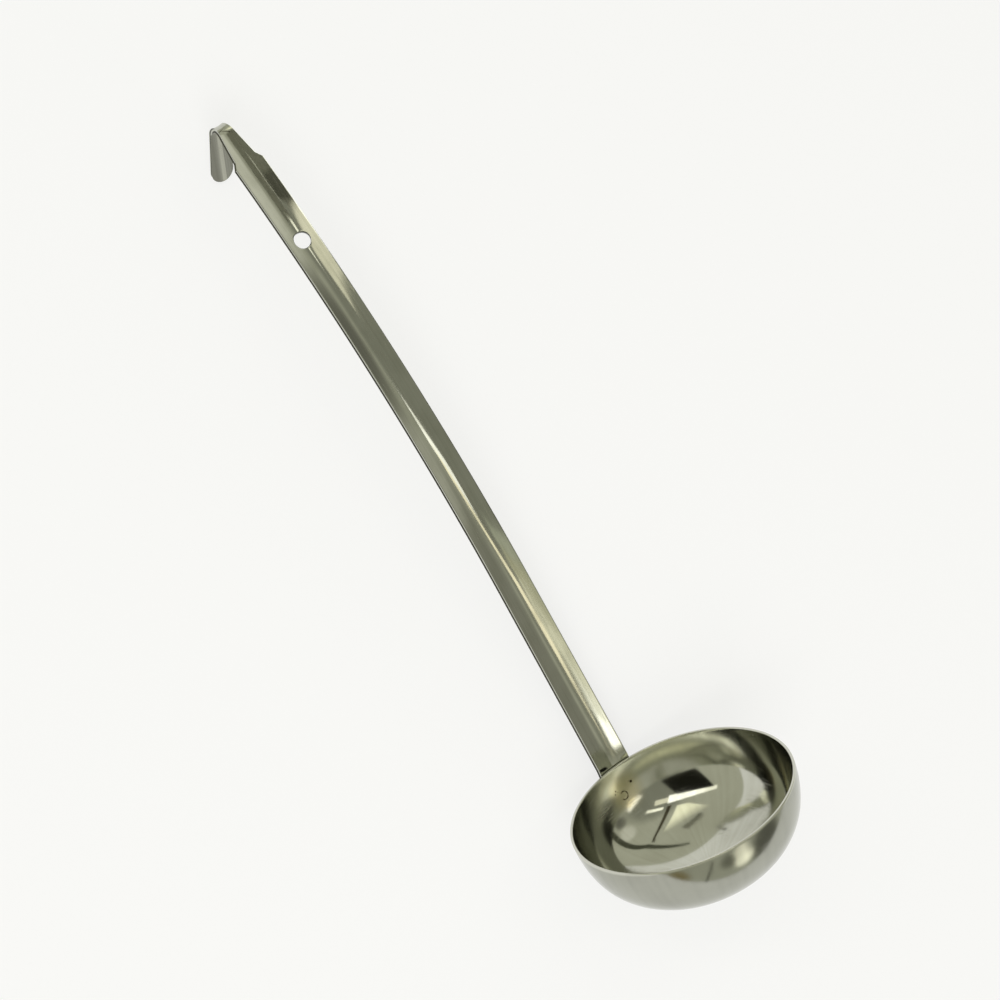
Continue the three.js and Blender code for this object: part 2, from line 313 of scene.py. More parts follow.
def strapRows():
    # distances of the blank's rows, close together where the strap bends
    stops = [strap["footHalfWidth"], leavesWall, rimBendEnd, holePlace - strap["holeBlock"],
             holePlace + strap["holeBlock"], neckStart - strap["shoulderLength"], neckStart, hookStart,
             tongueStart, tipEnd - strap["tongueHalfWidth"]]
    rows = [stops[0]]
    for low, high, step in zip(stops, stops[1:], strap["rowSteps"]):
        count = max(2, round((high - low) / step))
        rows += list(np.linspace(low, high, count + 1)[1:])
    return np.array(rows)


def blankGrid():
    # the points of the blank's face: rows across it between two round ends
    rows, inset = strapRows(), strap["edgeRounding"]
    share = np.linspace(-1, 1, strap["columns"] + 1)
    capSteps = np.linspace(0, 1, strap["capSteps"] + 1)[1:]

    def cap(start, radius, step):
        along = start + radius * step * np.sqrt(1 - share ** 2 / 2)
        return np.stack([along, abs(radius) * share * math.sqrt(1 - step ** 2 / 2)], 1)

    foot = [cap(rows[0], inset - strap["footHalfWidth"], step) for step in capSteps[::-1]]
    tip = [cap(rows[-1], strap["tongueHalfWidth"] - inset, step) for step in capSteps]
    body = [np.stack([np.full(len(share), row), (halfWidth(row) - inset) * share], 1) for row in rows]
    return np.array(foot + body + tip)


def makeBlank():
    # the flat blank that the handle is pressed from: X along it, Y across it and Z out of its face
    grid = blankGrid()
    inset, sheet, columns, rowCount = strap["edgeRounding"], strap["sheet"], strap["columns"], len(grid)

    # the block of the grid that the hole takes
    middle, block = grid[:, columns // 2, 0], strap["holeBlock"]
    low = int(np.argmin(abs(middle - (holePlace - block))))
    high = int(np.argmin(abs(middle - (holePlace + block))))
    near = int(np.argmin(abs(grid[low][:, 1] + block)))
    far = columns - near

    corners, faces = [], []

    def keep(points, height):
        first = len(corners)
        corners.extend((x, y, height) for x, y in points)
        return list(range(first, first + len(points)))

    def band(one, two, flip):
        for at in range(len(one)):
            step = (at + 1) % len(one)
            quad = (one[at], one[step], two[step], two[at])
            faces.append(quad[::-1] if flip else quad)

    def loopOf(index, firstRow, lastRow, firstCol, lastCol):
        loop = [index[firstRow, col] for col in range(firstCol, lastCol + 1)]
        loop += [index[row, lastCol] for row in range(firstRow + 1, lastRow + 1)]
        loop += [index[lastRow, col] for col in range(lastCol - 1, firstCol - 1, -1)]
        return loop + [index[row, firstCol] for row in range(lastRow - 1, firstRow, -1)]

    rims, holeRims = [], []
    for height, flip in ((0, False), (-sheet, True)):
        index = np.array(keep(grid.reshape(-1, 2), height)).reshape(rowCount, columns + 1)
        for row in range(rowCount - 1):
            for col in range(columns):
                if low <= row < high and near <= col < far:
                    continue
                quad = (index[row, col], index[row + 1, col], index[row + 1, col + 1], index[row, col + 1])
                faces.append(quad[::-1] if flip else quad)
        rims.append(loopOf(index, 0, rowCount - 1, 0, columns))
        ring = loopOf(index, low, high, near, far)
        start = np.array([corners[at][:2] for at in ring])
        angles = np.arctan2(start[:, 1], start[:, 0] - holePlace)
        turn = np.stack([np.cos(angles), np.sin(angles)], 1)
        goal = np.array([holePlace, 0]) + turn * (strap["holeRadius"] + strap["holeRounding"])
        for part in np.linspace(0, 1, strap["holeRings"] + 1)[1:]:
            inner = keep(start + (goal - start) * part, height)
            band(ring, inner, flip)
            ring = inner
        for angle in np.radians(np.linspace(0, 90, strap["holeSteps"] + 1)[1:]):
            drop = strap["holeRounding"] * (1 - math.cos(angle))
            reach = strap["holeRadius"] + strap["holeRounding"] * (1 - math.sin(angle))
            inner = keep(np.array([holePlace, 0]) + turn * reach, height + (drop if flip else -drop))
            band(ring, inner, flip)
            ring = inner
        holeRims.append(ring)
    band(holeRims[0], holeRims[1], False)

    # rounded cut edge round the whole outline
    outline = np.array([corners[at][:2] for at in rims[0]])
    along = np.roll(outline, -1, 0) - np.roll(outline, 1, 0)
    outward = np.stack([along[:, 1], -along[:, 0]], 1) / np.linalg.norm(along, axis=1)[:, None]
    edgeRings = []
    for rim, height, way in ((rims[0], 0, -1), (rims[1], -sheet, 1)):
        ring = rim
        for angle in np.radians(np.linspace(0, 90, strap["edgeSteps"] + 1)[1:]):
            drop = way * inset * (1 - math.cos(angle))
            outer = keep(outline + outward * inset * math.sin(angle), height + drop)
            band(outer, ring, way > 0)
            ring = outer
        edgeRings.append(ring)
    band(edgeRings[1], edgeRings[0], False)

    # drops what the hole took
    used = sorted({corner for face in faces for corner in face})
    order = {old: new for new, old in enumerate(used)}
    kept = [[order[corner] for corner in face] for face in faces]
    return meshFrom("strapBlank", np.array(corners)[used] * mm, kept)


def strapPath():
    # the path as a curve in the table's frame; its radius holds the roundness of the wall it sits on
    distances = set(np.arange(0, tipEnd, strap["pathStep"])) | set(marks)
    distances = sorted(distances | set(np.arange(hookStart, tongueStart, strap["hookStep"])))
    curve = bpy.data.curves.new("strapPath", "CURVE")
    curve.dimensions = "3D"
    spline = curve.splines.new("POLY")
    spline.points.add(len(distances) - 1)
    for point, distance in zip(spline.points, distances):
        outward, height, lean = pathAt(distance)
        point.co = (*(lyingPlace @ Vector((outward * mm, 0, height * mm))), 1)
        point.radius = abs(outward / math.cos(lean)) * mm if distance < rimBendEnd else 1
    guide = bpy.data.objects.new("strapPath", curve)
    bpy.context.scene.collection.objects.link(guide)
    return guide


def pressTree():
    # presses a flat blank: a groove across it, a seat that hugs the bowl, and bends along a path
    tree, given = newTree("pressStrap", [("Path", "NodeSocketObject"), ("Groove Slope", "NodeSocketFloat"),
                                         ("Groove Rounding", "NodeSocketFloat"),
                                         ("Seat End", "NodeSocketFloat"),
                                         ("Groove Runout", "NodeSocketFloat"),
                                         ("Finish", "NodeSocketMaterial")])
    flatPlace = add(tree, "GeometryNodeInputPosition")
    flat = add(tree, "ShaderNodeSeparateXYZ", None, {0: flatPlace})
    distance, across, depth = flat.out("X"), flat.out("Y"), -flat.out("Z")
    side, along = across.of("SIGN"), abs(across)
    path = add(tree, "GeometryNodeObjectInfo", dict(transform_space="ORIGINAL"),
               {"Object": given.out("Path")}).out("Geometry")
    spot = add(tree, "GeometryNodeSampleCurve", dict(mode="LENGTH", data_type="FLOAT", use_all_curves=True),
               {"Curves": path, "Value": add(tree, "GeometryNodeInputRadius"), "Length": distance})
    wall, base, way = spot.out("Value"), spot.out("Position"), spot.out("Tangent")
    runout = (distance - given.out("Seat End")) / given.out("Groove Runout")
    runout = runout.of("MAXIMUM", 0.0).of("MINIMUM", 1.0)
    hug = 1 - runout * runout * (3 - 2 * runout)
    soft = given.out("Groove Rounding")
    groove = (1 - hug) * given.out("Groove Slope")
    root = (along * along + soft * soft).of("SQRT")
    slope = groove * along / root + hug * along / wall
    ahead = groove * (root - soft) + hug * along * along / (2 * wall) - depth * slope.of("COSINE")
    reach = along - 0.5 * groove * groove * (along - soft * (along / soft).of("ARCTANGENT"))
    reach = reach - hug * along * along * along / (6 * wall * wall) + depth * slope.of("SINE")
    heading = add(tree, "ShaderNodeSeparateXYZ", None, {0: way})
    shift = add(tree, "ShaderNodeCombineXYZ", None, {"X": -(heading.out("Z") * ahead), "Y": side * reach,
                                                     "Z": heading.out("X") * ahead})
    bent = add(tree, "ShaderNodeVectorMath", dict(operation="ADD"), {0: base, 1: shift})
    marked = add(tree, "GeometryNodeStoreNamedAttribute", dict(data_type="FLOAT_VECTOR", domain="POINT"),
                 {"Geometry": given, "Name": "blankPlace", "Value": flatPlace})
    pressed = add(tree, "GeometryNodeSetPosition", None, {"Geometry": marked, "Position": bent})
    dressAndEnd(tree, pressed, given.out("Finish"))
    return tree


def makeHandle(finish):
    guide = strapPath()
    piece = runTree("ladleHandle", makeBlank(), pressTree(),
                    {"Path": guide, "Groove Slope": math.radians(strap["grooveSlope"]),
                     "Groove Rounding": strap["grooveRounding"] * mm, "Seat End": leavesWall * mm,
                     "Groove Runout": strap["grooveRunout"] * mm, "Finish": finish})
    curve = guide.data
    bpy.data.objects.remove(guide)
    bpy.data.curves.remove(curve)
    smoothMesh(piece)
    return piece


def newFinish(name):
    material = bpy.data.materials.new(name)
    material.use_nodes = True
    material.node_tree.nodes.clear()
    return material, material.node_tree


def noise(spot, scale, detail):
    # soft noise; a scale is one number or one for each axis
    scales = scale if isinstance(scale, tuple) else (scale,) * 3
    spread = add(spot.tree, "ShaderNodeMapping", None, {"Vector": spot, "Scale": scales})
    return add(spot.tree, "ShaderNodeTexNoise", None, {"Vector": spread, "Scale": 1.0, "Detail": detail})


def ramp(value, span):
    # rises softly from 0 at the first end of a span to 1 at the other
    return add(value.tree, "ShaderNodeMapRange", dict(interpolation_type="SMOOTHSTEP"),
               {"Value": value, "From Min": span[0], "From Max": span[1]})


def rampMm(value, span):
    return ramp(value, [end * mm for end in span])


def blend(mask, one, two):
    return add(mask.tree, "ShaderNodeMix", dict(data_type="RGBA"), {0: mask, 6: one, 7: two}, 2)


def steelShader(material, tree, colour, roughness, height):
    bump = add(tree, "ShaderNodeBump", None, {"Strength": 1.0, "Distance": 1.0, "Height": height})
    shader = add(tree, "ShaderNodeBsdfPrincipled", None, {"Base Color": colour, "Metallic": 1.0,
                                                          "Roughness": roughness, "Normal": bump})
    add(tree, "ShaderNodeOutputMaterial", None, {"Surface": shader})
    return material


# wear that bowl and handle share: the parts of the smudge noise that tint, dull or hold scratches
wear = dict(tint=(0.35, 0.7), dull=(0.4, 0.75), scratched=(0.45, 0.6), scratchRough=0.1)

# the bowl's steel: places and spans in mm of its own upright frame, heights of the bump in metres
# the rim's lighter colour is a painted highlight along the rounded rim
bowlSteel = dict(colour=(0.55, 0.555, 0.48, 1), smudge=(0.47, 0.47, 0.395, 1), rim=(0.6, 0.6, 0.53, 1),
                 # the outer face's two colours are darker as painted shade, standing in for a dim reflection
                 # of the shaded table
                 outside=(0.4, 0.405, 0.35, 1), shadedOutsideSmudge=(0.34, 0.344, 0.2975, 1),
                 heat=(0.64, 0.57, 0.36, 1), heatPlace=(45.0, 1.5, -11.5), heatReach=(11, 3), heatShare=0.7,
                 rimSpan=(-0.6, -0.2), wornSpan=(-24, -10), ringScale=1400, streakScale=(16, 14, 14),
                 smudgeScale=46, waveScale=48, scratchScale=(5, 1900, 1900), scratchCut=(0.68, 0.74),
                 smudgeShare=0.7, roughness=0.08, smudgeRough=0.06, wornRough=0.02, streakRough=0.07,
                 rimRough=0.05, wave=3.0e-5, line=2.0e-7, scratch=-2e-7)


def bowlFinish():
    steel = bowlSteel
    material, tree = newFinish("bowlSteel")
    own = add(tree, "ShaderNodeMapping", None, {"Vector": add(tree, "ShaderNodeTexCoord").out("Object"),
                                                "Location": (-lying["outward"] * mm, 0, -lying["up"] * mm),
                                                "Rotation": (0, -math.radians(lying["turn"]), 0)})
    spot = add(tree, "ShaderNodeSeparateXYZ", None, {0: own})
    height = spot.out("Z")
    radius = (spot.out("X") * spot.out("X") + spot.out("Y") * spot.out("Y")).of("SQRT")
    bearing = spot.out("Y").of("ARCTAN2", spot.out("X"))
    spun = add(tree, "ShaderNodeCombineXYZ", None, {"X": radius, "Z": height})
    drawn = add(tree, "ShaderNodeCombineXYZ", None, {"X": bearing, "Y": radius, "Z": height})
    rings = noise(spun, steel["ringScale"], 3.0)
    streaks = noise(drawn, steel["streakScale"], 3.0)
    smudge = noise(own, steel["smudgeScale"], 4.0)
    wave = noise(own, steel["waveScale"], 1.0)
    scratch = ramp(noise(drawn, steel["scratchScale"], 0.0), steel["scratchCut"])
    scratch = scratch * ramp(smudge, wear["scratched"])
    away = add(tree, "ShaderNodeVectorMath", dict(operation="DISTANCE"),
               {0: own, 1: [value * mm for value in steel["heatPlace"]]}, "Value")
    heat = rampMm(away, steel["heatReach"]) * steel["heatShare"]
    rim = rampMm(height, steel["rimSpan"])
    outside = add(tree, "ShaderNodeAttribute", dict(attribute_name="outerFace"), None, "Fac")
    # painted shade: the outer face takes the darker colours, clean or smudged
    clean = blend(outside, steel["colour"], steel["outside"])
    dirty = blend(outside, steel["smudge"], steel["shadedOutsideSmudge"])
    mottle = smudge * steel["smudgeShare"] + streaks * (1 - steel["smudgeShare"])
    colour = blend(heat, blend(ramp(mottle, wear["tint"]), clean, dirty), steel["heat"])
    # painted highlight: the colour turns lighter along the rim
    colour = blend(rim, colour, steel["rim"])
    worn = rampMm(height, steel["wornSpan"]) * (steel["wornRough"] + steel["streakRough"] * streaks)
    roughness = (steel["roughness"] + ramp(smudge, wear["dull"]) * steel["smudgeRough"] + worn
                 + scratch * wear["scratchRough"] + rim * steel["rimRough"])
    shape = wave * steel["wave"] + rings * steel["line"] + scratch * steel["scratch"]
    return steelShader(material, tree, colour, roughness, shape)


# the handle's steel: spans in mm, cut and back ones as depths below the strap's face; bump heights in metres
handleSteel = dict(colour=(0.55, 0.555, 0.485, 1), smudge=(0.45, 0.455, 0.385, 1),
                   # the back's darker colour is painted shade
                   # the cut edges' near-black colour is painted shade
                   # the ridge's lighter colour is a painted highlight on the back
                   shadedCut=(0.045, 0.045, 0.035, 1), back=(0.2, 0.2, 0.165, 1), ridgeHighlight=(0.5, 0.5, 0.42, 1),
                   lineScale=(26, 3600, 900), broadScale=(9, 700, 200), smudgeScale=(60, 110, 110),
                   waveScale=(24, 150, 40), scratchScale=(70, 1700, 400), scratchCut=(0.7, 0.76),
                   smudgeShare=0.6, holeSpan=(0.32, 0.1), frontCut=((0.02, 0.08), (0.6, 0.45)),
                   rearCut=((1.15, 1.3), (1.79, 1.72)), backSpan=(1.4, 1.6), ridgeSpan=(1.7, 0.3),
                   ridgeWander=4, holeShare=0.9, cutShare=0.85, backShare=0.6, ridgeShare=0.7,
                   roughness=0.05, lineRough=0.06, smudgeRough=0.05, cutRough=0.25, backRough=0.1,
                   wave=1.2e-5, line=3.0e-7, scratch=-1e-7)


def handleFinish():
    # its patterns follow the blank: X along the strap, Y across it and Z out of its face
    steel = handleSteel
    material, tree = newFinish("handleSteel")
    flat = add(tree, "ShaderNodeAttribute", dict(attribute_name="blankPlace"), None, "Vector")
    spot = add(tree, "ShaderNodeSeparateXYZ", None, {0: flat})
    along, across, depth = spot.out("X"), spot.out("Y"), -spot.out("Z")
    lines = noise(flat, steel["lineScale"], 2.0)
    broad = noise(flat, steel["broadScale"], 2.0)
    smudge = noise(flat, steel["smudgeScale"], 4.0)
    wave = noise(flat, steel["waveScale"], 1.0)
    scratch = ramp(noise(flat, steel["scratchScale"], 0.0), steel["scratchCut"])
    scratch = scratch * ramp(smudge, wear["scratched"])
    fromHole = along - holePlace * mm
    away = (fromHole * fromHole + across * across).of("SQRT")
    # painted shade: the hole wall and the rounded cut edges are painted near black
    holeWall = rampMm(away, [strap["holeRadius"] + end for end in steel["holeSpan"]])
    front, rear = [rampMm(depth, starts) * rampMm(depth, ends)
                   for starts, ends in (steel["frontCut"], steel["rearCut"])]
    shadedCut = (holeWall * steel["holeShare"]).of("MAXIMUM", front * steel["cutShare"])
    shadedCut = shadedCut.of("MAXIMUM", rear * steel["cutShare"])
    # painted shade: the strap's back face is darker, standing in for the shaded table it reflects
    back = rampMm(depth, steel["backSpan"])
    wander = across + (broad - 0.5) * (steel["ridgeWander"] * mm)
    # painted highlight: a lighter band along the middle of the back face
    ridgeHighlight = rampMm(abs(wander), steel["ridgeSpan"]) * steel["ridgeShare"]
    mottle = smudge * steel["smudgeShare"] + broad * (1 - steel["smudgeShare"])
    face = blend(ramp(mottle, wear["tint"]), steel["colour"], steel["smudge"])
    # the back's colour: painted shade, lighter along its ridge as a painted highlight
    dull = blend(ridgeHighlight, steel["back"], steel["ridgeHighlight"])
    backShadeMask = back * (steel["backShare"] + steel["backShare"] * broad).of("MINIMUM", 1.0)
    colour = blend(shadedCut, blend(backShadeMask, face, dull), steel["shadedCut"])
    roughness = (steel["roughness"] + lines * steel["lineRough"]
                 + ramp(smudge, wear["dull"]) * steel["smudgeRough"] + scratch * wear["scratchRough"]
                 + shadedCut * steel["cutRough"] + back * steel["backRough"])
    shape = wave * steel["wave"] + lines * steel["line"] + scratch * steel["scratch"]
    return steelShader(material, tree, colour, roughness, shape)


weldSteel = dict(colour=(0.2, 0.16, 0.09, 1), burnt=(0.02, 0.018, 0.012, 1), grainScale=1800,
                 grainSpan=(0.4, 0.62), roughness=0.3, grainRough=0.35, grainHeight=4e-5)


def weldFinish():
    steel = weldSteel
    material, tree = newFinish("weldSteel")
    grain = noise(add(tree, "ShaderNodeTexCoord").out("Object"), steel["grainScale"], 3.0)
    colour = blend(ramp(grain, steel["grainSpan"]), steel["burnt"], steel["colour"])
    roughness = steel["roughness"] + grain * steel["grainRough"]
    return steelShader(material, tree, colour, roughness, grain * steel["grainHeight"])


# spot welds: each is a plug between the sheets and the burnt marks that it leaves inside the bowl, in mm;
# a ring is its place across and up, radius and thickness, and a spot its place and radius
welds = dict(
    left=dict(swing=1, rings=[(2.5, -12.9, 1.7, 0.26)],
              spots=[(5.3, -9.3, 0.34), (6.1, -10.3, 0.28), (4.6, -10.1, 0.22)]),
    right=dict(swing=-1, rings=[], spots=[(-3.1, -9.6, 0.62), (-2.1, -8.9, 0.2)]),
)
plug = dict(radius=2.0, drop=11.5, spacing=6.4, inward=0.3, outward=0.9, sides=24)
burn = dict(ringTurns=(50, 335), ringPoints=40, ringWaves=5, ringSwell=0.25, ringTip=0.35, ringLift=0.03,
            ringSides=10, spotTurns=(2, 88), spotSteps=6, spotHeight=0.35, spotSides=14)


def insideSpot(across, height):
    # a point on the bowl's inner wall and the way off that wall
    reach = bowl["wallRadius"] - bowl["sheet"]
    lean = math.asin(-height / reach)
    radius = bowl["rimRadius"] - bowl["wallRadius"] + reach * math.cos(lean)
    swing = math.asin(across / radius)
    off = -np.array([math.cos(lean) * math.cos(swing), math.cos(lean) * math.sin(swing), -math.sin(lean)])
    return np.array([radius * math.cos(swing), radius * math.sin(swing), height]), off


def makeTube(centres, outs, radii, sides):
    # a closed tube along points; each ring stands across the way to the next point
    corners, faces = [], []
    centres, outs = np.array(centres), np.array(outs)
    ways = np.gradient(centres, axis=0)
    for centre, out, way, radius in zip(centres, outs, ways, radii):
        way = way / np.linalg.norm(way)
        side = np.cross(out, way)
        side = side / np.linalg.norm(side)
        lift = np.cross(way, side)
        for angle in np.linspace(0, 2 * math.pi, sides + 1)[:-1]:
            corners.append(centre + radius * (math.cos(angle) * side + math.sin(angle) * lift))
    count = len(centres)
    for low in range(0, (count - 1) * sides, sides):
        high = low + sides
        for at in range(sides):
            step = (at + 1) % sides
            faces.append((low + at, low + step, high + step, high + at))
    faces.append(tuple(range(sides - 1, -1, -1)))
    faces.append(tuple(range((count - 1) * sides, count * sides)))
    return corners, faces


def plugTube(swingSide):
    lean = wallLean(plug["drop"], 0)
    wall = wallPoint(lean, 0)
    lean = math.radians(lean)
    swing = swingSide * math.asin(plug["spacing"] / 2 / wall[0])
    way = np.array([math.cos(lean) * math.cos(swing), math.cos(lean) * math.sin(swing), -math.sin(lean)])
    middle = np.array([wall[0] * math.cos(swing), wall[0] * math.sin(swing), wall[1]])
    across = np.array([-math.sin(swing), math.cos(swing), 0])
    ends = [middle - way * plug["inward"], middle + way * plug["outward"]]
    return makeTube(ends, [across] * 2, [plug["radius"]] * 2, plug["sides"])


def ringTube(across, height, radius, thick):
    # an open burnt ring that swells and thins, with thin tips
    turns = np.radians(np.linspace(*burn["ringTurns"], burn["ringPoints"]))
    spots = [insideSpot(across + radius * math.cos(turn), height + radius * math.sin(turn)) for turn in turns]
    swell = thick * (1 - burn["ringSwell"] + burn["ringSwell"] * np.sin(burn["ringWaves"] * turns))
    swell[[0, -1]] *= burn["ringTip"]
    centres = [spot + off * burn["ringLift"] for spot, off in spots]
    return makeTube(centres, [off for spot, off in spots], swell, burn["ringSides"])


def spotTube(across, height, radius):
    # a low round drop
    spot, off = insideSpot(across, height)
    steps = np.radians(np.linspace(*burn["spotTurns"], burn["spotSteps"]))
    centres = [spot + off * radius * burn["spotHeight"] * math.sin(step) for step in steps]
    sideways = np.cross(off, (0, 0, 1))
    return makeTube(centres, [sideways] * len(steps), radius * np.cos(steps), burn["spotSides"])


def makeWeld(name, settings, finish):
    tubes = [plugTube(settings["swing"])]
    tubes += [ringTube(*ring) for ring in settings["rings"]]
    tubes += [spotTube(*spot) for spot in settings["spots"]]
    corners, faces = [], []
    for points, sides in tubes:
        faces += [tuple(corner + len(corners) for corner in face) for face in sides]
        corners += list(points)
    piece = bpy.data.objects.new(name, meshFrom(name, np.array(corners) * mm, faces))
    bpy.context.scene.collection.objects.link(piece)
    piece.data.transform(lyingPlace)
    piece.data.materials.append(finish)
    smoothMesh(piece)
    return piece


def setPiece(piece, node):
    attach(piece, "root")
    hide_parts(node)
    solid = np.array([list(corner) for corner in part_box(node)]) / mm
    points = np.array([corner.co for corner in piece.data.vertices]) / mm
    print(piece.name, len(piece.data.polygons), "faces; its box past the solid's, mm:",
          np.round(solid[0] - points.min(0), 2).tolist(), np.round(points.max(0) - solid[1], 2).tolist())


setPiece(makeBowl(bowlFinish()), "bowl")
setPiece(makeHandle(handleFinish()), "handle")
weldDull = weldFinish()
for name, settings in welds.items():
    setPiece(makeWeld("weld" + name.capitalize(), settings, weldDull), "spot_weld_" + name)


# floor: sizes in metres; white is the share of plain white that the camera and the steel see in it
floorSettings = dict(radius=12.0, sides=96, drop=0.0001, colour=(0.92, 0.92, 0.92, 1), white=0.72)


def makeFloor():
    turns = np.linspace(0, 2 * math.pi, floorSettings["sides"] + 1)[:-1]
    ring = [(math.cos(turn) * floorSettings["radius"], math.sin(turn) * floorSettings["radius"],
             -floorSettings["drop"]) for turn in turns]
    floor = bpy.data.objects.new("floor", meshFrom("floor", ring, [range(len(ring))]))
    material, tree = newFinish("paleFloor")
    shader = add(tree, "ShaderNodeBsdfDiffuse", None, {"Color": floorSettings["colour"]})
    ray = add(tree, "ShaderNodeLightPath")
    seen = ray.out("Is Camera Ray") + ray.out("Is Glossy Ray") + ray.out("Is Transmission Ray")
    glow = add(tree, "ShaderNodeEmission", None, {"Strength": 1.0})
    share = seen.of("MINIMUM", 1.0) * floorSettings["white"]
    both = add(tree, "ShaderNodeMixShader", None, {0: share, 1: shader, 2: glow})
    add(tree, "ShaderNodeOutputMaterial", None, {"Surface": both})
    floor.data.materials.append(material)
    bpy.context.scene.collection.objects.link(floor)


# camera: place in mm, turn in degrees
cameraSettings = dict(place=(-6.604393, 356.533147, 935.581241), turn=(12.6779306, -18.3867464, -125.3188138),
                      lens=85, sensor=36, clip=(0.01, 50))


def makeCamera():
    data = bpy.data.cameras.new("photoCamera")
    data.lens, data.sensor_width = cameraSettings["lens"], cameraSettings["sensor"]
    data.clip_start, data.clip_end = cameraSettings["clip"]
    camera = bpy.data.objects.new("photoCamera", data)
    camera.location = Vector(cameraSettings["place"]) * mm
    camera.rotation_euler = [math.radians(turn) for turn in cameraSettings["turn"]]
    bpy.context.scene.collection.objects.link(camera)
    bpy.context.scene.camera = camera


# lamps under the ceiling: place and size in metres, turn about the upright, and the level of their face
lampHeight = 2.4
lamps = dict(
    ceilingStrip=dict(place=(1.16, 0.9), turn=57.5, size=(1.5, 0.55), level=1.9, colour=(1, 0.99, 0.95)),
    stripMiddle=dict(place=(1.78, 1.87), turn=57.5, size=(0.8, 0.55), level=1.45, colour=(1, 0.985, 0.92)),
    stripFar=dict(place=(2.44, 2.9), turn=57.5, size=(1.65, 0.55), level=1.1, colour=(1, 0.98, 0.88)),
    stripEnd=dict(place=(0.68, 0.12), turn=57.5, size=(0.9, 0.34), level=0.85, colour=(1, 0.95, 0.76)),
    windowEnd=dict(place=(-1.79, 0.2), turn=126, size=(0.8, 0.5), level=2.4, colour=(1, 0.985, 0.93)),
    warmEnd=dict(place=(-1.39, 0.2), turn=126, size=(0.8, 0.14), level=0.77, colour=(1, 0.96, 0.74)),
    goldEnd=dict(place=(-1.22, 0.2), turn=126, size=(0.8, 0.13), level=0.36, colour=(1, 0.94, 0.56)),
    dimEnd=dict(place=(-1.05, 0.2), turn=126, size=(0.8, 0.14), level=0.26, colour=(0.95, 1, 0.76)),
    warmStrip=dict(place=(-0.9, -0.78), turn=126, size=(1.5, 0.24), level=1.3, colour=(1, 0.9, 0.66)),
    leftStrip=dict(place=(0.88, -0.49), turn=50, size=(0.8, 0.2), level=1.5, colour=(1, 0.98, 0.86)),
    farStrip=dict(place=(-0.43, -1.03), turn=-68, size=(1.0, 0.3), level=1.5, colour=(1, 0.99, 0.95)),
    goldSpot=dict(place=(-0.55, 0.92), turn=30, size=(0.3, 0.1), level=1.4, colour=(1, 0.78, 0.35)),
)
# a soft box that lights the floor from one side and isn't seen in the steel
fillBox = dict(place=(-1.3, 1.5, 2.2), aim=(0, 0, 0), size=(1.6, 1.2), level=5.0, colour=(1, 1, 1))


def makeLamp(name, settings):
    lamp = bpy.data.lights.new(name, "AREA")
    lamp.shape = "RECTANGLE"
    lamp.size, lamp.size_y = settings["size"]
    lamp.energy = settings["level"] * math.pi * lamp.size * lamp.size_y
    lamp.color = settings["colour"]
    box = bpy.data.objects.new(name, lamp)
    if "aim" in settings:
        box.location = settings["place"]
        way = Vector(settings["aim"]) - Vector(settings["place"])
        box.rotation_euler = way.to_track_quat("-Z", "Y").to_euler()
    else:
        box.location = (*settings["place"], lampHeight)
        box.rotation_euler = (0, 0, math.radians(settings["turn"]))
    box.visible_camera = False
    bpy.context.scene.collection.objects.link(box)
    return box


# the room's soft colours: bearing, height and inner and outer reach of each patch in degrees, and its colour
room = dict(wall=(0.56, 0.565, 0.465, 1), ceiling=(0.3, 0.305, 0.25, 1), ceilingFrom=(46, 64), patches=dict(
    dullLeft=dict(bearing=-116, height=36, reach=(8, 20), colour=(0.3, 0.3, 0.25, 1)),
    paleSide=dict(bearing=-102, height=41, reach=(1, 8), colour=(0.55, 0.55, 0.47, 1)),
    darkLeft=dict(bearing=-86, height=43, reach=(1, 10), colour=(0.18, 0.18, 0.15, 1)),
    paleLeft=dict(bearing=-64, height=38, reach=(5, 12), colour=(0.82, 0.82, 0.72, 1)),
    darkBack=dict(bearing=-150, height=8, reach=(8, 18), colour=(0.17, 0.17, 0.14, 1)),
    darkBackLeft=dict(bearing=178, height=18, reach=(1, 11), colour=(0.22, 0.22, 0.17, 1)),
    brownBack=dict(bearing=141, height=1, reach=(2, 11), colour=(0.3, 0.24, 0.1, 1)),
    backWindow=dict(bearing=-170, height=12, reach=(1, 10), colour=(2.2, 2.15, 1.8, 1)),
    backWindowTop=dict(bearing=-171, height=22, reach=(0, 9), colour=(1.9, 1.85, 1.55, 1)),
))


def makeRoom():
    world = bpy.data.worlds.new("studio")
    bpy.context.scene.world = world
    world.use_nodes = True
    tree = world.node_tree
    tree.nodes.clear()
    way = add(tree, "ShaderNodeTexCoord").out("Generated")
    rise = add(tree, "ShaderNodeSeparateXYZ", None, {0: way}).out("Z")
    ceiling = [math.sin(math.radians(height)) for height in room["ceilingFrom"]]
    colour = blend(ramp(rise, ceiling), room["wall"], room["ceiling"])
    for patch in room["patches"].values():
        bearing, height = math.radians(patch["bearing"]), math.radians(patch["height"])
        flat = math.cos(height)
        middle = (flat * math.cos(bearing), flat * math.sin(bearing), math.sin(height))
        near = add(tree, "ShaderNodeVectorMath", dict(operation="DOT_PRODUCT"), {0: way, 1: middle}, "Value")
        inner, outer = [math.cos(math.radians(reach)) for reach in patch["reach"]]
        colour = blend(ramp(near, (outer, inner)), colour, patch["colour"])
    glow = add(tree, "ShaderNodeBackground", None, {"Color": colour, "Strength": 1.0})
    add(tree, "ShaderNodeOutputWorld", None, {"Surface": glow})


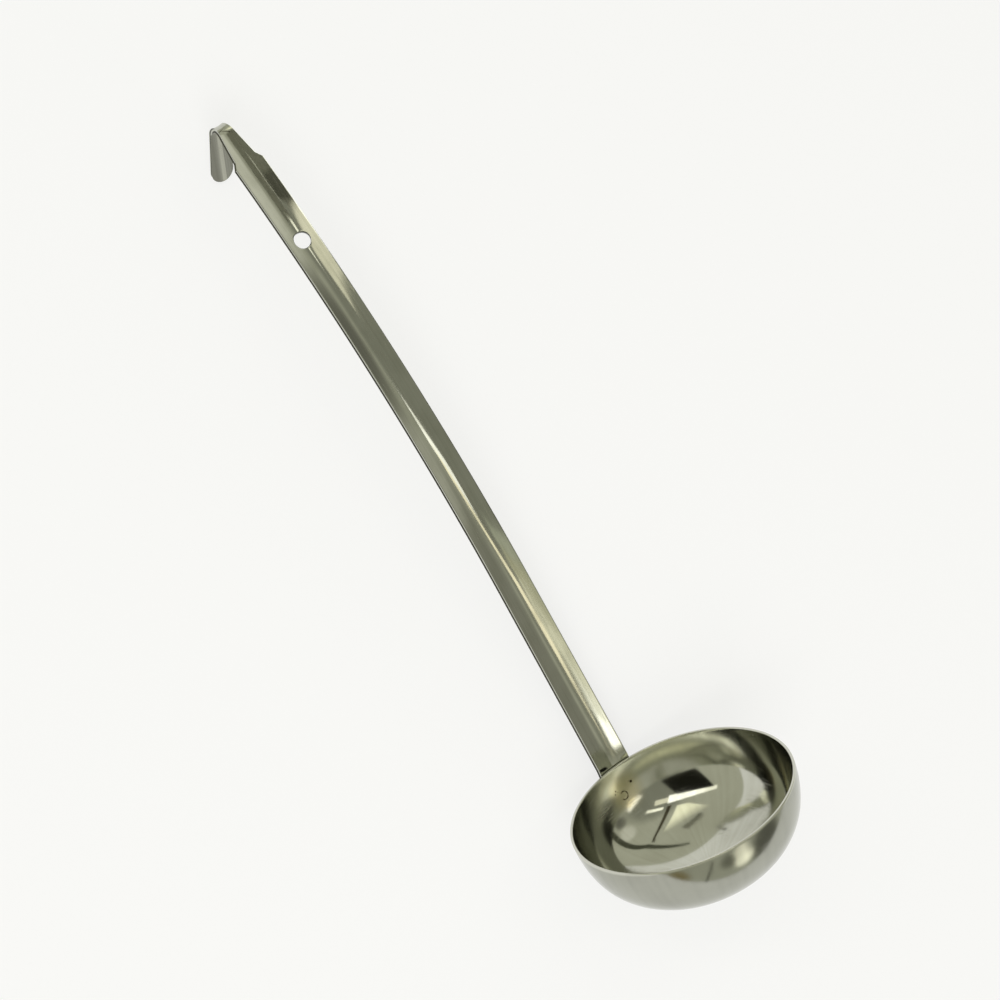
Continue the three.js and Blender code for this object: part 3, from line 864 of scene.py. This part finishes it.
# cards that the steel shows: corners in metres, the colour of dull ones, low and high glow of the lit one
cards = dict(
    cameraCard=dict(colour=(0.015, 0.015, 0.012, 1), corners=[
        (-0.4, 0.24, 1.08), (0.27, 0.32, 1.08), (1.02, 1.45, 1.08), (-0.3, 1.21, 1.08)]),
    neckCard=dict(colour=(0.12, 0.12, 0.1, 1), corners=[
        (0.173, 0.006, 0.15), (0.186, -0.015, 0.15), (0.204, -0.015, 0.15), (0.198, 0.025, 0.15),
        (0.182, 0.025, 0.15)]),
    hookCard=dict(colour=(0.3, 0.3, 0.26, 1), corners=[
        (0.198, -0.015, 0.151), (0.25, -0.015, 0.151), (0.25, 0.025, 0.151), (0.194, 0.025, 0.151)]),
    valleyCard=dict(colour=(0.3, 0.3, 0.26, 1), corners=[
        (0.17, -0.065, 0.15), (0.24, -0.065, 0.15), (0.24, -0.016, 0.15), (0.17, -0.016, 0.15)]),
    beam=dict(colour=(0.07, 0.055, 0.025, 1), corners=[
        (0.45, 0.0, 1.08), (0.5, 0.07, 1.08), (2.4, -1.46, 1.08), (2.34, -1.54, 1.08)]),
    wallRail=dict(colour=(0.1, 0.105, 0.08, 1), corners=[
        (-0.4, -1.8, 0.8), (7, -1.8, 0.95), (7, -1.8, 1.15), (-0.4, -1.8, 1.1)]),
    doorPost=dict(colour=(0.05, 0.05, 0.04, 1), corners=[
        (-4.3, 1.42, 0), (-4.32, 1.3, 0), (-4.32, 1.3, 1.9), (-4.3, 1.42, 1.9)]),
    creamPanel=dict(low=(0.62, 0.62, 0.5, 1), high=(1.5, 1.48, 1.15, 1), rise=(0.9, 1.6), corners=[
        (1.356, 0.267, 2.02), (1.54, 0.586, 1.787), (2.045, 0.716, 0.987), (1.955, -0.812, 1.107)]),
)


def makeCard(name, settings):
    material, tree = newFinish(name)
    if "rise" in settings:
        spot = add(tree, "ShaderNodeTexCoord").out("Object")
        height = add(tree, "ShaderNodeSeparateXYZ", None, {0: spot}).out("Z")
        shine = blend(ramp(height, settings["rise"]), settings["low"], settings["high"])
        shader = add(tree, "ShaderNodeEmission", None, {"Color": shine})
    else:
        shader = add(tree, "ShaderNodeBsdfDiffuse", None, {"Color": settings["colour"]})
    add(tree, "ShaderNodeOutputMaterial", None, {"Surface": shader})
    corners = settings["corners"]
    card = bpy.data.objects.new(name, meshFrom(name, corners, [range(len(corners))]))
    card.data.materials.append(material)
    card.visible_camera = False
    card.visible_shadow = False
    card.visible_diffuse = False
    bpy.context.scene.collection.objects.link(card)


makeFloor()
makeCamera()
makeRoom()
for name, settings in lamps.items():
    makeLamp(name, settings)
makeLamp("fillBox", fillBox).visible_glossy = False
for name, settings in cards.items():
    makeCard(name, settings)
bpy.context.scene.view_settings.view_transform = "Standard"
print("stage set:", len(lamps) + 1, "lamps,", len(cards), "cards")
